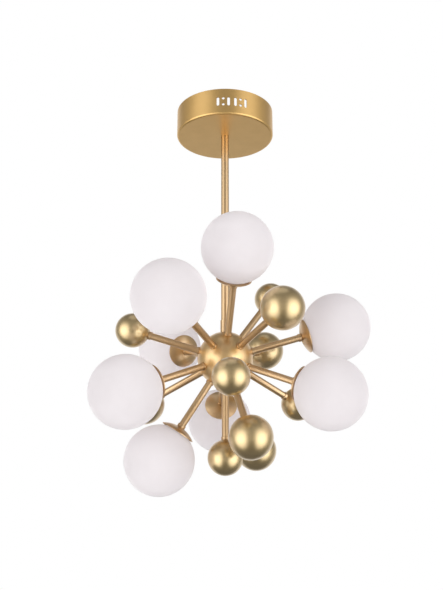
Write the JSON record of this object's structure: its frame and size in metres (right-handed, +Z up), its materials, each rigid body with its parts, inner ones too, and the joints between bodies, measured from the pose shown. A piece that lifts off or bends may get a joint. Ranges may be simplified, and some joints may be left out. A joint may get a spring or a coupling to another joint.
{
  "type": "multi arm chandelier",
  "caption": "Ceiling chandelier with a ball hub on a straight stem, radial arms carrying opal glass globes and hollow metal balls, and a vented round canopy.",
  "frame": {"origin": "on the ceiling plane, midway between the two ceiling screw slots, on the canopy's axis", "axes": "+Z up into the ceiling, X along the bracket through both slots, -Y towards the vents and the viewer"},
  "size_m": [0.3963, 0.404, 0.5914],
  "materials": {
    "satin_gold": "satin brushed gold",
    "polished_gold": "semi-polished gold",
    "plated_steel": "zinc plated",
    "earth_brass": "plain brass",
    "opal_glass": "frosted opal",
    "lamp_glass": "frosted",
    "socket_ceramic": "unglazed white",
    "block_plastic": "moulded",
    "wire_insulation": "smooth sleeve"
  },
  "bodies": {
    "frame": {"canopy": "satin_gold", "stem": "satin_gold", "stem_coupling": "satin_gold", "hub": "satin_gold", "ball_arms": "satin_gold", "hub_collars": "satin_gold", "end_collars": "satin_gold", "canopy_screws": "satin_gold", "light_arm_1": "satin_gold", "globe_holder_1": "satin_gold", "bulb_1": "lamp_glass", "light_arm_2": "satin_gold", "globe_holder_2": "satin_gold", "bulb_2": "lamp_glass", "light_arm_3": "satin_gold", "globe_holder_3": "satin_gold", "bulb_3": "lamp_glass", "light_arm_4": "satin_gold", "globe_holder_4": "satin_gold", "bulb_4": "lamp_glass", "light_arm_5": "satin_gold", "globe_holder_5": "satin_gold", "bulb_5": "lamp_glass", "light_arm_6": "satin_gold", "globe_holder_6": "satin_gold", "bulb_6": "lamp_glass", "light_arm_7": "satin_gold", "globe_holder_7": "satin_gold", "bulb_7": "lamp_glass", "light_arm_8": "satin_gold", "globe_holder_8": "satin_gold", "bulb_8": "lamp_glass", "ball_1": "polished_gold", "ball_2": "polished_gold", "ball_3": "polished_gold", "ball_4": "polished_gold", "ball_5": "polished_gold", "ball_6": "polished_gold", "ball_7": "polished_gold", "ball_8": "polished_gold", "ball_9": "polished_gold", "ball_10": "polished_gold", "ball_11": "polished_gold", "ceiling_bracket": "plated_steel", "stem_washer": "plated_steel", "stem_lock_nut": "plated_steel", "globe_clips": "plated_steel", "earth_screw": "earth_brass", "terminal_block": "block_plastic", "wiring_harness": "wire_insulation", "lamp_sockets": "socket_ceramic"},
    "globe_1_body": {"globe_1": "opal_glass"},
    "globe_2_body": {"globe_2": "opal_glass"},
    "globe_3_body": {"globe_3": "opal_glass"},
    "globe_4_body": {"globe_4": "opal_glass"},
    "globe_5_body": {"globe_5": "opal_glass"},
    "globe_6_body": {"globe_6": "opal_glass"},
    "globe_7_body": {"globe_7": "opal_glass"},
    "globe_8_body": {"globe_8": "opal_glass"}
  },
  "joints": [
    {"name": "globe_1_pull_off", "type": "slide", "parent": "frame", "child": "globe_1_body", "axis": [0.095, -0.6357, 0.766], "range_m": [0, 0.075]},
    {"name": "globe_2_pull_off", "type": "slide", "parent": "frame", "child": "globe_2_body", "axis": [0.955, 0.05, 0.2924], "range_m": [0, 0.075]},
    {"name": "globe_3_pull_off", "type": "slide", "parent": "frame", "child": "globe_3_body", "axis": [-0.5208, 0.802, 0.2924], "range_m": [0, 0.075]},
    {"name": "globe_4_pull_off", "type": "slide", "parent": "frame", "child": "globe_4_body", "axis": [-0.4342, -0.8521, 0.2924], "range_m": [0, 0.075]},
    {"name": "globe_5_pull_off", "type": "slide", "parent": "frame", "child": "globe_5_body", "axis": [-0.0485, 0.9259, -0.3746], "range_m": [0, 0.075]},
    {"name": "globe_6_pull_off", "type": "slide", "parent": "frame", "child": "globe_6_body", "axis": [-0.7776, -0.505, -0.3746], "range_m": [0, 0.075]},
    {"name": "globe_7_pull_off", "type": "slide", "parent": "frame", "child": "globe_7_body", "axis": [0.8261, -0.4209, -0.3746], "range_m": [0, 0.075]},
    {"name": "globe_8_pull_off", "type": "slide", "parent": "frame", "child": "globe_8_body", "axis": [-0.5426, 0.0475, -0.8387], "range_m": [0, 0.075]}
  ]
}
